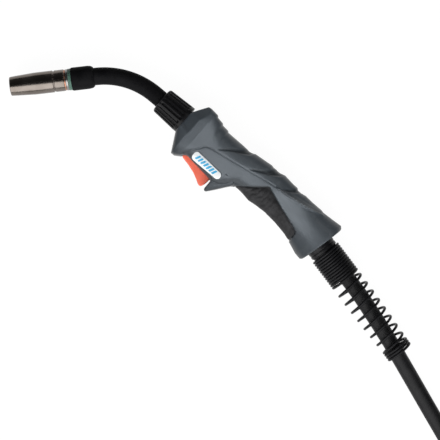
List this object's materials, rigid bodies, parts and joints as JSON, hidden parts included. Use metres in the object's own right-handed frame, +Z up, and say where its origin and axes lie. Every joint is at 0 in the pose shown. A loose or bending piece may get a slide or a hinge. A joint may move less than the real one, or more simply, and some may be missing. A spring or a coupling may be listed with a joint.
{
  "type": "mig welding torch",
  "caption": "Air-cooled MIG welding torch lying on its side: swan neck with gas nozzle, trigger handle, kink spring and a coiled coaxial lead ending in a central connector plug.",
  "frame": {"origin": "middle of the base of the torch's bounding box, on the surface that the torch lies on, measured without the lead's tube, coil, tie and plug", "axes": "+X runs back along the handle from the neck towards the lead, +Y to the thumb side away from the trigger, +Z up, square to the torch's middle plane"},
  "size_m": [0.7676, 0.2317, 0.076],
  "materials": {
    "nozzle_nickel": "satin nickel plate",
    "seat_silver": "turned",
    "copper": "turned copper",
    "brass": "turned brass",
    "insulator_teal": "satin",
    "black_plastic": "satin moulded",
    "neck_rubber": "smooth",
    "liner_steel": "wound wire",
    "handle_grey": "fine moulded texture",
    "grip_rubber": "ribbed soft grip",
    "badge_white": "printed label",
    "screw_steel": "zinc plated",
    "trigger_red": "satin moulded",
    "plunger_white": "smooth",
    "lead_red": "insulated wire",
    "lead_jacket": "matt extruded jacket",
    "spring_black": "black coated spring wire",
    "tie_strap": "hook and loop strap"
  },
  "bodies": {
    "torch": {"contact_tip": "copper", "tip_adaptor": "brass", "tip_holder": "brass", "nozzle_seat": "seat_silver", "insulator_ring": "insulator_teal", "neck_end_collar": "black_plastic", "neck_tube": "copper", "neck_insulation": "neck_rubber", "wire_liner": "liner_steel", "neck_nut": "black_plastic", "neck_connector": "brass", "crimp_ferrule": "copper", "handle_shell_upper": "handle_grey", "handle_shell_lower": "handle_grey", "grip_pad_upper": "grip_rubber", "grip_pad_lower": "grip_rubber", "badge_upper": "badge_white", "badge_lower": "badge_white", "handle_screws": "screw_steel", "trigger_pin": "screw_steel", "trigger_spring": "screw_steel", "microswitch": "black_plastic", "switch_leads": "lead_red", "cable_lead_in": "lead_jacket", "cable_support": "black_plastic", "kink_spring": "spring_black", "power_cable": "lead_jacket", "cable_coil": "lead_jacket", "cable_tie": "tie_strap", "cable_tail": "lead_jacket", "plug_boot": "neck_rubber", "plug_housing": "black_plastic", "plug_body": "brass", "gas_nipple": "brass", "gas_o_ring": "neck_rubber", "liner_nut": "brass"},
    "nozzle": {"gas_nozzle": "nozzle_nickel"},
    "trigger_lever": {"trigger": "trigger_red"},
    "plunger": {"switch_plunger": "plunger_white"},
    "nut": {"union_nut": "black_plastic"},
    "contact_a": {"contact_pin_a": "brass"},
    "contact_b": {"contact_pin_b": "brass"}
  },
  "joints": [
    {"name": "trigger_pull", "type": "hinge", "parent": "torch", "child": "trigger_lever", "pos_m": [-0.0524, 0.0123, 0.02], "axis": [0, 0, 1], "range_deg": [0, 6], "stiffness_Nm_per_rad": 0.8, "springref_deg": -5.73, "deforming": ["trigger_spring"]},
    {"name": "plunger_press", "type": "slide", "parent": "torch", "child": "plunger", "axis": [0, 1, 0], "range_m": [0, 0.002]},
    {"name": "nozzle_pull", "type": "slide", "parent": "torch", "child": "nozzle", "axis": [-0.6794, -0.7337, 0], "range_m": [0, 0.06]},
    {"name": "union_nut_spin", "type": "hinge", "parent": "torch", "child": "nut", "pos_m": [0.44974, 0.12243, 0.054], "axis": [-0.4067, 0.9135, 0], "continuous": true},
    {"name": "contact_a_press", "type": "slide", "parent": "torch", "child": "contact_a", "axis": [0.4067, -0.9135, 0], "range_m": [0, 0.003], "stiffness_N_per_m": 400, "springref_m": -0.002},
    {"name": "contact_b_press", "type": "slide", "parent": "torch", "child": "contact_b", "axis": [0.4067, -0.9135, 0], "range_m": [0, 0.003], "stiffness_N_per_m": 400, "springref_m": -0.002}
  ],
  "couplings": [
    {"joint": "plunger_press", "follows": "trigger_pull", "m_per_rad": 0.0185}
  ]
}
